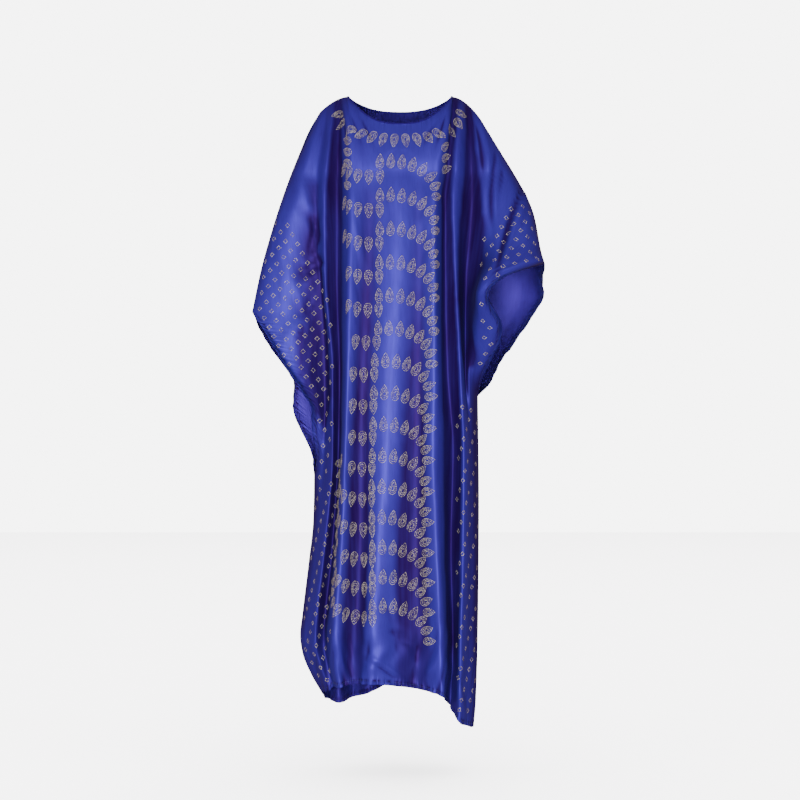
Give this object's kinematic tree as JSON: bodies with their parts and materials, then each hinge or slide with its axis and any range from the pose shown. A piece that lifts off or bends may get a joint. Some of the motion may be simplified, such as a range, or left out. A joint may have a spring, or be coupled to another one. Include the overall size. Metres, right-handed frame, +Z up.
{
  "type": "robe dress",
  "caption": "Full-length batwing robe dress in satin, hanging in a worn pose as a hollow shell, open at the neck, cuffs and hem.",
  "frame": {"origin": "between the two shoulders at their height, where the robe hangs from what wears it", "axes": "+Z up along the robe's length, -Y to the front, +X to the right as seen from the front"},
  "size_m": [0.656, 0.3463, 1.4195],
  "materials": {
    "royal_blue_satin": "smooth satin",
    "binding_blue_satin": "smooth satin, folded and stitched"
  },
  "bodies": {
    "root": {"front": "royal_blue_satin", "back": "royal_blue_satin", "neck_binding": "binding_blue_satin"}
  },
  "joints": []
}
